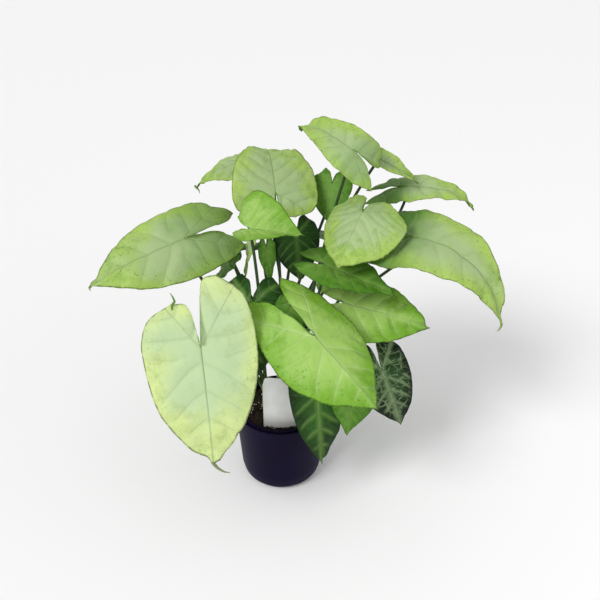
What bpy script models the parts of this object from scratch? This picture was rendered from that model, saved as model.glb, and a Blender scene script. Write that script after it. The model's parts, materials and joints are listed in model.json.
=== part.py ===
"""Arrowhead plant in a nursery pot. Metres, +Z up, origin under the middle of the pot."""
import math

import bmesh
import bpy
import numpy as np

# The pot
POT_HEIGHT = 0.095
POT_TOP_RADIUS = 0.0525
POT_BASE_RADIUS = 0.0455
POT_CORNER = 0.012
POT_WALL = 0.0016
POT_FLOOR = 0.0022
RIM_GROOVE_WIDTH = 0.0026
RIM_GROOVE_DEPTH = 0.0030
RIM_RING_WIDTH = 0.0048
RIM_RING_DROP = 0.0012
DRAIN_COUNT = 6
DRAIN_WIDTH = 0.011
DRAIN_HEIGHT = 0.0030
DRAIN_DEPTH = 0.014
DRAIN_TURN = 0.2

# The soil that fills it, with a hole for each stem and a slot for the tag
GAP = 0.0003
SOIL_TOP = 0.0905
HOLE_DEPTH = 0.034
SLOT_DEPTH = 0.034

# The blank tag
TAG_WIDTH = 0.039
TAG_THICK = 0.0008
TAG_CENTRE = (0.001, -0.0325)
TAG_TOP = 0.160
TAG_BOW = 0.0030
TAG_SHOULDER = 0.012
TAG_TOP_SHARE = 0.86
TAG_COLUMNS = 6

# Stems and leaf stalks
STEM_RADIUS = 0.0046
STALK_RADIUS = 0.0019
STALK_POINTS = 9
KNEE = 0.007
STALK_RISE = 0.42
STALK_EASE = 0.28
STALK_SET_IN = 0.006
STALK_LEAN = 0.10
CONTACT_GAP = 0.0005

# Blades
BLADE_THICK = 0.0007
SIDE_POINTS = 9
NOTCH_POINTS = 3
RINGS = 3
WAVE_TURNS = 5

# Half of the outline from the tip back to the lobe's tip, then into the notch.
# First number: share of the length ahead of the stalk, or of the lobe behind it.
# Second number: share of the half width.
BROAD = (
    ((1.00, 0.00), (0.93, 0.10), (0.80, 0.36), (0.55, 0.75), (0.22, 0.98),
     (-0.20, 0.99), (-0.65, 0.80), (-1.00, 0.44)),
    ((-1.00, 0.44), (-0.80, 0.20), (-0.40, 0.08), (-0.06, 0.025)),
)
ARROW = (
    ((1.00, 0.00), (0.92, 0.08), (0.78, 0.27), (0.50, 0.62), (0.20, 0.86),
     (-0.15, 0.92), (-0.60, 0.86), (-1.00, 0.62)),
    ((-1.00, 0.62), (-0.76, 0.34), (-0.36, 0.12), (-0.06, 0.03)),
)
HEART = (
    ((1.00, 0.00), (0.93, 0.10), (0.80, 0.38), (0.55, 0.77), (0.22, 0.98),
     (-0.25, 1.00), (-0.72, 0.84), (-1.00, 0.42)),
    ((-1.00, 0.42), (-0.94, 0.16), (-0.50, 0.06), (-0.06, 0.02)),
)
SPEAR = (
    ((1.00, 0.00), (0.88, 0.12), (0.70, 0.40), (0.45, 0.78), (0.15, 1.00),
     (-0.25, 0.92), (-0.70, 0.62), (-1.00, 0.30)),
    ((-1.00, 0.30), (-0.75, 0.16), (-0.36, 0.08), (-0.06, 0.025)),
)

# Shoots: foot of the stem on the soil, and height of its top above the soil
SHOOTS = {
    "left": ((-0.017, 0.002), 0.024),
    "front": ((0.006, -0.014), 0.020),
    "right": ((0.022, 0.006), 0.028),
    "back": ((-0.001, 0.022), 0.034),
}

# Leaves. Lengths in millimetres, angles in degrees.
# at: where the stalk meets the blade. aim: heading from +X, rise of the midrib, roll.
# size: tip ahead of the stalk, full width, lobes behind the stalk.
# bend: rise of each half, how far its edge rolls down again, droop to the tip, extra at the tip.
# lobes: droop of the left and right lobe. turn: sideways sweep and twist towards the tip.
# right_lobe: length of a blade's right lobe as a share of its left one, where they differ.
LEAVES = {
    "far_left": dict(shape=BROAD, shoot="left", at=(-95, 0, 310), aim=(209, -9, -28),
                     size=(106, 84, 70), bend=(10, 35, 12, 20), lobes=(55, 40),
                     turn=(0, 0), bow=(0, -10, 0), wave=4.0, colour="pale"),
    "back_left": dict(shape=ARROW, shoot="back", at=(-40, 118, 344), aim=(186, -14, -14),
                      size=(66, 52, 26), bend=(-8, 20, 15, 35), lobes=(20, 20),
                      turn=(0, 0), wave=2.0, colour="pale"),
    "upper_middle": dict(shape=HEART, shoot="back", at=(-3, 45, 340), aim=(97, 34, 6),
                         size=(92, 90, 27), bend=(6, 20, 20, 75), lobes=(20, 10),
                         turn=(0, 0), bow=(6, 8, 0), wave=3.0, colour="pale"),
    "small_bright": dict(shape=SPEAR, shoot="left", at=(-28, -8, 326), aim=(-14, 2, 25),
                         size=(56, 74, 12), bend=(42, 15, 5, 0), lobes=(10, 10),
                         turn=(0, 0), wave=1.0, colour="lime"),
    "top": dict(shape=ARROW, shoot="right", at=(73, 20, 397), aim=(148, 25, -25),
                size=(78, 56, 42), bend=(5, 25, 15, 75), lobes=(25, 80),
                turn=(0, 0), bow=(0, 16, 0), wave=3.0, colour="pale"),
    "upper_right": dict(shape=ARROW, shoot="right", at=(135, 62, 339), aim=(-8, 5, 12),
                        size=(84, 48, 50), bend=(5, 30, 30, 40), lobes=(30, 20),
                        turn=(0, 0), wave=2.5, colour="pale"),
    "far_right": dict(shape=ARROW, shoot="right", at=(140, -4, 314), aim=(-26, 5, 12),
                      size=(134, 96, 80), bend=(10, 30, 80, 5), lobes=(5, 5),
                      turn=(-30, 0), bow=(0, 36, 0), wave=2.5, colour="pale"),
    "middle_right": dict(shape=HEART, shoot="right", at=(83, 0, 340), aim=(-124, -38, 0),
                         size=(62, 96, 24), bend=(-12, 25, 10, 0), lobes=(30, 30),
                         turn=(0, 0), bow=(-10, 20, 0), wave=1.2, colour="pale"),
    "below_middle": dict(shape=SPEAR, shoot="right", at=(48, -14, 288), aim=(-18, -12, 10),
                         size=(80, 58, 34), bend=(10, 20, 10, 0), lobes=(20, 20),
                         turn=(0, 0), wave=1.0, colour="green"),
    "right_bright": dict(shape=BROAD, shoot="right", at=(68, -15, 243), aim=(-14, -6, 26),
                         size=(92, 82, 36), bend=(6, 20, 15, 0), lobes=(20, 20),
                         turn=(0, 0), wave=2.0, colour="lime"),
    "front_bright": dict(shape=BROAD, shoot="front", at=(38, -90, 252), aim=(-44, -24, 14),
                         size=(88, 100, 78), bend=(-10, 20, 15, 0), lobes=(10, 15),
                         turn=(0, 0), bow=(10, 10, 0), wave=2.5, colour="lime"),
    "front_left": dict(shape=HEART, shoot="left", at=(-70, -108, 254), aim=(-76, -66, 0),
                       size=(126, 108, 66), bend=(6, 20, 10, 20), lobes=(20, 20),
                       turn=(0, 0), bow=(-14, 0, 0), wave=3.0, right_lobe=0.66,
                       colour="palest"),
    "dark_left": dict(shape=BROAD, shoot="left", at=(-27, -32, 252), aim=(-100, -60, 0),
                      size=(90, 70, 36), bend=(5, 25, 15, 0), lobes=(60, 60),
                      turn=(0, 0), wave=1.5, colour="dark"),
    "over_rim": dict(shape=BROAD, shoot="front", at=(39, -59, 166), aim=(-74, -72, 5),
                     size=(90, 58, 34), bend=(6, 20, 5, 0), lobes=(24, 28),
                     turn=(0, 0), wave=1.8, colour="dark"),
    "over_rim_small": dict(shape=SPEAR, shoot="right", at=(76, -68, 168), aim=(-105, -60, 0),
                           size=(46, 50, 20), bend=(6, 20, 5, 0), lobes=(24, 28),
                           turn=(0, 0), wave=1.6, colour="green"),
    "silver_veined": dict(shape=HEART, shoot="right", at=(112, -14, 154), aim=(-60, -48, 20),
                          size=(64, 62, 34), bend=(5, 25, 10, 0), lobes=(20, 20),
                          turn=(0, 0), wave=1.0, colour="silver"),
    "inner_left": dict(shape=SPEAR, shoot="left", at=(-52, 12, 276), aim=(200, -48, 8),
                       size=(32, 30, 14), bend=(6, 20, 5, 0), lobes=(30, 30),
                       turn=(0, 0), bow=(-8, -8, 0), wave=1.0, colour="green"),
    "pale_strip": dict(shape=ARROW, shoot="back", at=(-26, 36, 306), aim=(-118, -62, 45),
                       size=(62, 34, 14), bend=(10, 20, 5, 0), lobes=(30, 30),
                       turn=(0, 0), wave=1.0, colour="pale"),
    "old_hanging": dict(shape=SPEAR, shoot="back", at=(-13, 27, 286), aim=(-70, -75, 0),
                        size=(42, 20, 12), bend=(15, 20, 5, 0), lobes=(30, 30),
                        turn=(0, 0), wave=1.0, colour="green"),
    "behind_middle": dict(shape=BROAD, shoot="back", at=(56, 76, 336), aim=(-103, -44, 4),
                          size=(42, 44, 18), bend=(5, 20, 15, 0), lobes=(30, 30),
                          turn=(0, 0), bow=(-6, 0, 0), wave=1.0, colour="green"),
    "inside_right": dict(shape=BROAD, shoot="back", at=(18, 42, 292), aim=(-80, -58, 0),
                         size=(50, 50, 22), bend=(5, 20, 15, 0), lobes=(30, 30),
                         turn=(0, 0), wave=1.0, colour="dark"),
    "behind_front": dict(shape=SPEAR, shoot="front", at=(12, -42, 256), aim=(-95, -60, 0),
                         size=(46, 32, 16), bend=(5, 20, 15, 0), lobes=(30, 30),
                         turn=(0, 0), wave=1.0, colour="green"),
    "olive_low": dict(shape=SPEAR, shoot="left", at=(-40, -40, 164), aim=(-85, -74, 0),
                      size=(54, 32, 16), bend=(5, 20, 5, 0), lobes=(30, 30),
                      turn=(0, 0), wave=1.0, colour="green"),
    "rolled_back": dict(shape=SPEAR, shoot="right", at=(102, 52, 374), aim=(-12, -22, 40),
                        size=(52, 22, 12), bend=(35, 20, 25, 10), lobes=(10, 10),
                        turn=(0, 0), bow=(-16, 0, 0), wave=1.0, colour="pale"),
    "rear_left": dict(shape=BROAD, shoot="back", at=(-58, 78, 252), aim=(135, -30, 0),
                      size=(82, 72, 40), bend=(6, 25, 20, 10), lobes=(25, 25),
                      turn=(0, 0), wave=1.5, colour="dark"),
    "rear_right": dict(shape=BROAD, shoot="back", at=(62, 98, 262), aim=(55, -35, 0),
                       size=(84, 76, 40), bend=(6, 25, 20, 10), lobes=(25, 25),
                       turn=(0, 0), wave=1.5, colour="green"),
    "rear_low": dict(shape=BROAD, shoot="back", at=(8, 92, 186), aim=(92, -45, 0),
                     size=(70, 60, 30), bend=(6, 25, 10, 10), lobes=(25, 25),
                     turn=(0, 0), wave=1.5, colour="dark"),
}

COLOURS = {
    "palest": (0.62, 0.80, 0.38),
    "pale": (0.45, 0.60, 0.30),
    "lime": (0.28, 0.52, 0.08),
    "green": (0.12, 0.30, 0.05),
    "dark": (0.03, 0.11, 0.02),
    "silver": (0.06, 0.16, 0.06),
    "stalk": (0.04, 0.10, 0.03),
    "pot": (0.012, 0.006, 0.022),
    "soil": (0.012, 0.009, 0.007),
    "tag": (0.85, 0.85, 0.83),
}


def empty_scene():
    for thing in list(bpy.data.objects):
        bpy.data.objects.remove(thing, do_unlink=True)


def material(name, roughness=0.5):
    made = bpy.data.materials.get(name)
    if made is None:
        made = bpy.data.materials.new(name)
        made.use_nodes = True
        shader = made.node_tree.nodes["Principled BSDF"]
        shader.inputs["Base Color"].default_value = (*COLOURS[name], 1.0)
        shader.inputs["Roughness"].default_value = roughness
        shader.inputs["Metallic"].default_value = 0.0
    return made


def add_object(name, mesh, collection, colour=None, roughness=0.5):
    thing = bpy.data.objects.new(name, mesh)
    collection.objects.link(thing)
    if colour:
        mesh.materials.append(material(colour, roughness))
    return thing


def evaluated_mesh(thing):
    bpy.context.view_layer.update()
    graph = bpy.context.evaluated_depsgraph_get()
    return bpy.data.meshes.new_from_object(thing.evaluated_get(graph), depsgraph=graph)


def drop(thing):
    bpy.data.objects.remove(thing, do_unlink=True)


def arc(centre, radius, start, end, steps):
    """Points (r, z) on an arc, angles in degrees."""
    for i in range(steps + 1):
        a = math.radians(start + (end - start) * i / steps)
        yield centre[0] + radius * math.cos(a), centre[1] + radius * math.sin(a)


def wall_radius(z):
    """Outer radius of the pot's tapered wall at height z."""
    return POT_BASE_RADIUS + (POT_TOP_RADIUS - POT_BASE_RADIUS) * z / POT_HEIGHT


def turned(name, profile, collection, colour, steps, roughness=0.5):
    """A profile of (r, z) points that starts and ends on the axis, turned round Z."""
    mesh = bpy.data.meshes.new(name)
    points = [(r, 0.0, z) for r, z in profile]
    mesh.from_pydata(points, [(i, i + 1) for i in range(len(points) - 1)], [])
    thing = add_object(name, mesh, collection, colour, roughness)
    screw = thing.modifiers.new("turn", "SCREW")
    screw.axis = "Z"
    screw.steps = screw.render_steps = steps
    screw.use_merge_vertices = True
    screw.merge_threshold = 0.00001
    screw.use_smooth_shade = True
    return thing


def cut(thing, cutter):
    boolean = thing.modifiers.new("cut", "BOOLEAN")
    boolean.operation = "DIFFERENCE"
    boolean.object = cutter
    cutter.hide_render = True
    cutter.display_type = "WIRE"


def make_pot(parts, cutters):
    inner = POT_TOP_RADIUS - POT_WALL - RIM_GROOVE_WIDTH - RIM_RING_WIDTH
    ring_top = POT_HEIGHT - RIM_RING_DROP
    groove_floor = POT_HEIGHT - RIM_GROOVE_DEPTH
    corner_r = POT_BASE_RADIUS - POT_CORNER
    shelf = POT_HEIGHT - RIM_GROOVE_DEPTH - POT_WALL
    profile = [
        (0.0, POT_FLOOR),
        (corner_r, POT_FLOOR),
    ]
    profile += list(arc((corner_r, POT_CORNER), POT_CORNER - POT_FLOOR, -60, 0, 3))
    profile += [
        (wall_radius(shelf) - POT_WALL - RIM_GROOVE_WIDTH, shelf - 0.003),
        (inner, shelf),
        (inner, ring_top),
        (inner + RIM_RING_WIDTH, ring_top),
        (inner + RIM_RING_WIDTH, groove_floor),
        (POT_TOP_RADIUS - POT_WALL, groove_floor),
        (POT_TOP_RADIUS - POT_WALL, POT_HEIGHT),
        (POT_TOP_RADIUS, POT_HEIGHT),
    ]
    profile += reversed(list(arc((corner_r, POT_CORNER), POT_CORNER, -90, 0, 5)))
    profile += [(0.0, 0.0)]
    pot = turned("pot", profile, parts, "pot", 48, 0.38)
    drains = bpy.data.meshes.new("drains")
    shape = bmesh.new()
    for i in range(DRAIN_COUNT):
        made = bmesh.ops.create_cube(shape, size=1.0)
        angle = 2 * math.pi * (i + 0.5) / DRAIN_COUNT + DRAIN_TURN
        for v in made["verts"]:
            x = v.co.x * DRAIN_DEPTH + POT_BASE_RADIUS - 0.003
            y, z = v.co.y * DRAIN_WIDTH, v.co.z * 2 * DRAIN_HEIGHT
            v.co = (x * math.cos(angle) - y * math.sin(angle),
                    x * math.sin(angle) + y * math.cos(angle), z)
    shape.to_mesh(drains)
    shape.free()
    cut(pot, add_object("drain_cutter", drains, cutters))


def tube(name, points, radius, collection, resolution=2):
    curve = bpy.data.curves.new(name, "CURVE")
    curve.dimensions = "3D"
    curve.bevel_depth = radius
    curve.bevel_resolution = resolution
    curve.use_fill_caps = True
    spline = curve.splines.new("POLY")
    spline.points.add(len(points) - 1)
    for point, place in zip(spline.points, points):
        point.co = (*place, 1.0)
    thing = bpy.data.objects.new(name, curve)
    collection.objects.link(thing)
    mesh = evaluated_mesh(thing)
    drop(thing)
    shape = bmesh.new()
    shape.from_mesh(mesh)
    bmesh.ops.remove_doubles(shape, verts=shape.verts, dist=0.00001)
    bmesh.ops.recalc_face_normals(shape, faces=shape.faces)
    shape.to_mesh(mesh)
    shape.free()
    return mesh


def make_tag(parts, cutters):
    """A bowed strip: a shouldered flat piece that stands in a slot in the soil."""
    foot = SOIL_TOP - SLOT_DEPTH + GAP
    for name, grow, top, collection in (("tag", 0.0, TAG_TOP, parts),
                                        ("tag_slot", GAP, SOIL_TOP + 0.01, cutters)):
        shape = bmesh.new()
        columns, half = TAG_COLUMNS, TAG_WIDTH / 2 + grow
        rows = (foot - grow, top - TAG_SHOULDER, top) if name == "tag" else (foot - grow, top)
        grid = []
        for z in rows:
            share = TAG_TOP_SHARE if name == "tag" and z == top else 1.0
            line = []
            for i in range(columns + 1):
                x = half * share * (2 * i / columns - 1)
                bow = -TAG_BOW * (1 - (x / half) ** 2)
                line.append(shape.verts.new((TAG_CENTRE[0] + x, TAG_CENTRE[1] + bow, z)))
            grid.append(line)
        for low, high in zip(grid, grid[1:]):
            for i in range(columns):
                shape.faces.new((low[i], low[i + 1], high[i + 1], high[i]))
        mesh = bpy.data.meshes.new(name)
        shape.to_mesh(mesh)
        shape.free()
        thing = add_object(name, mesh, collection, "tag" if name == "tag" else None, 0.45)
        thick = thing.modifiers.new("thickness", "SOLIDIFY")
        thick.thickness = TAG_THICK + 2 * grow
        thick.offset = 0.0
    return bpy.data.objects["tag_slot"]


def make_soil(parts, cutters, slot):
    inner = POT_TOP_RADIUS - POT_WALL - RIM_GROOVE_WIDTH - RIM_RING_WIDTH - GAP
    corner_r = POT_BASE_RADIUS - POT_CORNER
    profile = [(0.0, SOIL_TOP), (inner - 0.004, SOIL_TOP), (inner - 0.001, SOIL_TOP - 0.002),
               (inner - 0.0015, SOIL_TOP - 0.008)]
    inside = POT_CORNER - POT_FLOOR - 0.0012
    profile += reversed(list(arc((corner_r - 0.001, POT_CORNER + 0.001), inside, -90, 0, 3)))
    profile += [(0.0, POT_CORNER + 0.001 - inside)]
    soil = turned("soil", profile, parts, "soil", 40, 0.95)
    for name, (foot, _height) in SHOOTS.items():
        mesh = tube("hole_" + name, stem_path(foot, 0.02, GAP), STEM_RADIUS + GAP, cutters)
        cut(soil, add_object("hole_" + name, mesh, cutters))
    cut(soil, slot)


def stem_path(foot, height, extra=0.0):
    bottom = SOIL_TOP - HOLE_DEPTH - extra
    return [(foot[0], foot[1], bottom), (foot[0], foot[1], SOIL_TOP),
            (foot[0], foot[1], SOIL_TOP + height)]


def smooth_line(points, samples):
    """A Catmull-Rom curve through 2D points, as evenly stepped samples with both ends."""
    pts = np.array(points, float)
    pts = np.vstack((2 * pts[0] - pts[1], pts, 2 * pts[-1] - pts[-2]))
    spans = len(points) - 1
    out = []
    for k in range(samples + 1):
        s = spans * k / samples
        i = min(int(s), spans - 1)
        f = s - i
        p0, p1, p2, p3 = pts[i:i + 4]
        out.append(0.5 * (2 * p1 + (p2 - p0) * f + (2 * p0 - 5 * p1 + 4 * p2 - p3) * f ** 2
                          + (3 * p1 - p0 - 3 * p2 + p3) * f ** 3))
    return np.array(out)


def outline(leaf):
    """The blade's flat edge from the right notch round the tip to the left notch."""
    length, width, lobe = (0.001 * n for n in leaf["size"])
    side = smooth_line(leaf["shape"][0], SIDE_POINTS)
    notch = smooth_line(leaf["shape"][1], NOTCH_POINTS)[1:]
    half = np.vstack((side, notch))
    half[:, 0] *= np.where(half[:, 0] > 0, length, lobe)
    half[:, 1] = np.maximum(half[:, 1], 0.0) * width / 2
    right = half[::-1] * (1, -1)
    right[:, 0] *= np.where(right[:, 0] < 0, leaf.get("right_lobe", 1.0), 1.0)
    return np.vstack((right[:-1], half))


def axes(leaf):
    heading, rise, roll = (math.radians(a) for a in leaf["aim"])
    ahead = np.array((math.cos(heading) * math.cos(rise),
                      math.sin(heading) * math.cos(rise), math.sin(rise)))
    level = np.array((-math.sin(heading), math.cos(heading), 0.0))
    above = np.cross(ahead, level)
    left = level * math.cos(roll) + above * math.sin(roll)
    return ahead, left, np.cross(ahead, left)


def integrate(angles, step):
    """Running sums of cos and sin of the angles, by the trapezium rule."""
    c, s = np.cos(angles), np.sin(angles)
    x = np.concatenate(([0], np.cumsum((c[1:] + c[:-1]) / 2))) * step
    z = np.concatenate(([0], np.cumsum((s[1:] + s[:-1]) / 2))) * step
    return x, z


def bent(leaf, u, v, ripple):
    """Flat blade coordinates to places in the world. ripple lifts the edge."""
    length, width, lobe = (0.001 * n for n in leaf["size"])
    rise, roll_down, droop, tip = (math.radians(a) for a in leaf["bend"])
    half = width / 2
    share = np.abs(v) / half
    angle = rise - roll_down * share
    y = half * (math.sin(rise) - np.sin(angle)) / roll_down
    z = half * (np.cos(angle) - math.cos(rise)) / roll_down + ripple
    steps = np.linspace(0, 1, 65)
    x = np.zeros_like(u)
    down = np.zeros_like(u)
    slope = np.zeros_like(u)
    fx, fz = integrate(droop * steps + tip * steps ** 3, length / 64)
    ahead_of = u >= 0
    s = np.clip(u / length, 0, 1)
    x = np.where(ahead_of, np.interp(s, steps, fx), x)
    down = np.where(ahead_of, np.interp(s, steps, fz), down)
    slope = np.where(ahead_of, droop * s + tip * s ** 3, slope)
    for sign, degrees in ((1, leaf["lobes"][0]), (-1, leaf["lobes"][1])):
        lobe_droop = math.radians(degrees)
        bx, bz = integrate(lobe_droop * steps, lobe / 64)
        here = (u < 0) & (v * sign > 0)
        back = np.clip(-u / lobe, 0, 1)
        x = np.where(here, -np.interp(back, steps, bx), x)
        down = np.where(here, np.interp(back, steps, bz), down)
        slope = np.where(here, -lobe_droop * back, slope)
    sweep, twist = (math.radians(a) * s for a in leaf["turn"])
    yt = np.sign(v) * y * np.cos(twist) - z * np.sin(twist)
    zt = np.sign(v) * y * np.sin(twist) + z * np.cos(twist)
    bow = x * np.sin(sweep / 2)
    x = x * np.cos(sweep / 2) - yt * np.sin(sweep) + zt * np.sin(slope) * np.cos(sweep)
    across = bow + yt * np.cos(sweep) + zt * np.sin(slope) * np.sin(sweep)
    up = -down + zt * np.cos(slope)
    ahead, left, above = axes(leaf)
    place = 0.001 * np.array(leaf["at"])
    return place + np.outer(x, ahead) + np.outer(across, left) + np.outer(up, above)


def make_blade(name, leaf, parts):
    edge = outline(leaf)
    count = len(edge)
    flat = [(0.0, 0.0, 0.0, 0.0)]
    for ring in range(1, RINGS + 1):
        t = ring / RINGS
        flat += [(t * p[0], t * p[1], t, i / (count - 1)) for i, p in enumerate(edge)]
    u, v, t, s = np.array(flat).T
    ripple = 0.001 * leaf["wave"] * t ** 2 * np.sin(WAVE_TURNS * math.pi * s + leaf["at"][0])
    places = bent(leaf, u, v, ripple)
    faces = [(0, 1 + i, 2 + i) for i in range(count - 1)]
    for ring in range(1, RINGS):
        low, high = 1 + (ring - 1) * count, 1 + ring * count
        for i in range(count - 1):
            faces += [(low + i, high + i, high + i + 1), (low + i, high + i + 1, low + i + 1)]
    mesh = bpy.data.meshes.new("blade_" + name)
    mesh.from_pydata(places.tolist(), [], faces)
    blade = add_object("blade_" + name, mesh, parts, leaf["colour"], 0.45)
    mesh.shade_smooth()
    thick = blade.modifiers.new("thickness", "SOLIDIFY")
    thick.thickness = BLADE_THICK
    thick.offset = -1.0
    return blade


def stalk_path(leaf):
    """From the top of the stem, up and out, and into the blade from below."""
    foot, height = SHOOTS[leaf["shoot"]]
    base = np.array((foot[0], foot[1], SOIL_TOP + height - STALK_SET_IN))
    above = axes(leaf)[2]
    fold = max(0.0, math.sin(-math.radians(leaf["bend"][0])))
    end = 0.001 * np.array(leaf["at"]) - above * (BLADE_THICK + STALK_RADIUS * fold + CONTACT_GAP)
    knee = end - above * KNEE
    run = knee - base
    reach = np.linalg.norm(run)
    bow = 0.001 * np.array(leaf.get("bow", (0, 0, 0)))
    into = above * 0.5 + run / reach * 0.5
    first = base + bow + (STALK_LEAN * run[0], STALK_LEAN * run[1],
                           STALK_RISE * reach)
    second = knee + bow - into / np.linalg.norm(into) * STALK_EASE * reach
    points = []
    for k in range(STALK_POINTS):
        f = k / (STALK_POINTS - 1)
        points.append((1 - f) ** 3 * base + 3 * f * (1 - f) ** 2 * first
                      + 3 * f * f * (1 - f) * second + f ** 3 * knee)
    return points + [end]


def make_shoot(name, foot, height, parts):
    shoot = add_object("shoot_" + name,
                       tube("stem", stem_path(foot, height), STEM_RADIUS, parts), parts, "stalk")
    joined = bpy.data.collections.new("stalks_" + name)
    bpy.context.scene.collection.children.link(joined)
    for leaf in LEAVES.values():
        if leaf["shoot"] == name:
            mesh = tube("stalk", stalk_path(leaf), STALK_RADIUS, joined)
            add_object("stalk", mesh, joined)
    union = shoot.modifiers.new("join", "BOOLEAN")
    union.operation = "UNION"
    union.operand_type = "COLLECTION"
    union.collection = joined
    mesh = evaluated_mesh(shoot)
    shoot.modifiers.clear()
    shoot.data = mesh
    for thing in list(joined.objects):
        drop(thing)
    bpy.data.collections.remove(joined)
    return shoot


def main():
    empty_scene()
    parts = bpy.data.collections.new("arrowhead_plant")
    cutters = bpy.data.collections.new("cutters")
    for collection in (parts, cutters):
        bpy.context.scene.collection.children.link(collection)
    make_pot(parts, cutters)
    slot = make_tag(parts, cutters)
    make_soil(parts, cutters, slot)
    for name, (foot, height) in SHOOTS.items():
        make_shoot(name, foot, height, parts)
    for name, leaf in LEAVES.items():
        make_blade(name, leaf, parts)


main()
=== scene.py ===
import json
import math

import bmesh
import bpy
import numpy as np
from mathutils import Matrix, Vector

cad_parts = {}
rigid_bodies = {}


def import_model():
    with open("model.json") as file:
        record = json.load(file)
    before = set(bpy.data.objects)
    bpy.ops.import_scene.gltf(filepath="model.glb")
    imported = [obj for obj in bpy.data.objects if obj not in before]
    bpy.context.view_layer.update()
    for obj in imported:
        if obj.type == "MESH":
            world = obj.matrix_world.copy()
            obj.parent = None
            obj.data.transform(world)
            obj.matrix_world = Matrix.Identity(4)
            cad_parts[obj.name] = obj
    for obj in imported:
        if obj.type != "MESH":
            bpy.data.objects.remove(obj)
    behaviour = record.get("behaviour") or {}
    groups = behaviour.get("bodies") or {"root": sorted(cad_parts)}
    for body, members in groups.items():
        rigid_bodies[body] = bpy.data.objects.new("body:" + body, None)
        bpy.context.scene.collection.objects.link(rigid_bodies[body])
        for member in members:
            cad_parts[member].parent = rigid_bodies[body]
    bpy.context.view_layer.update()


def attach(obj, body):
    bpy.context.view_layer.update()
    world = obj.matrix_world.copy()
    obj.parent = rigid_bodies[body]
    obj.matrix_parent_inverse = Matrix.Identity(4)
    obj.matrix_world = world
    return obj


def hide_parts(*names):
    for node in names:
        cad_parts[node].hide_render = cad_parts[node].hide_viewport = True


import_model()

print("packed frame loaded")


# camera and light
view = dict(
    place=(0.022, -0.707, 0.696), pitch=33.0, lens=48.0, sensor=36.0,
    keyPlace=(-0.72, -0.72, 1.20), keyAngle=22.0, keyPower=1.7,
    fillPlace=(0.9, -0.8, 0.9), fillSize=1.2, fillPower=3.0,
    lampAim=(0, 0, 0.22), sky=(1.0, 1.0, 1.0), skyPower=0.60, floorHalf=4.0, floorGrey=0.94,
)


def addLight(name, kind, place, power, size):
    lamp = bpy.data.lights.new(name, kind)
    if kind == "SUN":
        lamp.angle = math.radians(size)
    else:
        lamp.size = size
    lamp.energy = power
    thing = bpy.data.objects.new(name, lamp)
    thing.location = place
    direction = Vector(view["lampAim"]) - Vector(place)
    thing.rotation_euler = direction.to_track_quat("-Z", "Y").to_euler()
    bpy.context.scene.collection.objects.link(thing)


def makeStudio():
    scene = bpy.context.scene
    scene.view_settings.view_transform = "Standard"
    camera = bpy.data.cameras.new("camera")
    camera.lens = view["lens"]
    camera.sensor_width = view["sensor"]
    camera.clip_start = 0.01
    holder = bpy.data.objects.new("camera", camera)
    holder.location = view["place"]
    holder.rotation_euler = (math.radians(90 - view["pitch"]), 0, 0)
    scene.collection.objects.link(holder)
    scene.camera = holder
    world = bpy.data.worlds.new("soft sky")
    world.use_nodes = True
    sky = world.node_tree.nodes["Background"]
    sky.inputs["Color"].default_value = (*view["sky"], 1)
    sky.inputs["Strength"].default_value = view["skyPower"]
    scene.world = world
    addLight("key", "SUN", view["keyPlace"], view["keyPower"], view["keyAngle"])
    addLight("fill", "AREA", view["fillPlace"], view["fillPower"], view["fillSize"])
    half = view["floorHalf"]
    mesh = bpy.data.meshes.new("floor")
    mesh.from_pydata([(-half, -half, 0), (half, -half, 0), (half, half, 0), (-half, half, 0)],
                     [], [(0, 1, 2, 3)])
    floor = bpy.data.objects.new("floor", mesh)
    scene.collection.objects.link(floor)
    paint = bpy.data.materials.new("floor white")
    paint.use_nodes = True
    shader = paint.node_tree.nodes["Principled BSDF"]
    shader.inputs["Base Color"].default_value = (*[view["floorGrey"]] * 3, 1)
    shader.inputs["Roughness"].default_value = 0.9
    mesh.materials.append(paint)


makeStudio()
print("camera, light and floor")


# materials: a Wire is one output socket, so that node maths reads as a formula
class Wire:
    def __init__(self, tree, socket):
        self.tree, self.socket = tree, socket

    def op(self, kind, *others):
        node = self.tree.nodes.new("ShaderNodeMath")
        node.operation = kind
        for i, value in enumerate((self, *others)):
            feed(self.tree, node.inputs[i], value)
        return Wire(self.tree, node.outputs[0])

    def __add__(self, other):
        return self.op("ADD", other)

    def __sub__(self, other):
        return self.op("SUBTRACT", other)

    def __mul__(self, other):
        return self.op("MULTIPLY", other)

    def __truediv__(self, other):
        return self.op("DIVIDE", other)

    def absolute(self):
        return self.op("ABSOLUTE")

    def step(self, low, high):
        # 0 below low, 1 above high, smooth between
        node = self.tree.nodes.new("ShaderNodeMapRange")
        node.interpolation_type = "SMOOTHSTEP"
        for name, value in (("Value", self), ("From Min", low), ("From Max", high)):
            feed(self.tree, node.inputs[name], value)
        return Wire(self.tree, node.outputs[0])


def feed(tree, socket, value):
    if isinstance(value, Wire):
        tree.links.new(value.socket, socket)
    elif isinstance(value, tuple) and len(value) == 3 and socket.type == "RGBA":
        socket.default_value = (*value, 1)
    else:
        socket.default_value = value


def shade(red, green, blue):
    # screen colour 0 to 255 to the linear value that a shader takes
    return tuple(((c / 255 + 0.055) / 1.055) ** 2.4 if c > 10 else c / 255 / 12.92
                 for c in (red, green, blue))


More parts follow.
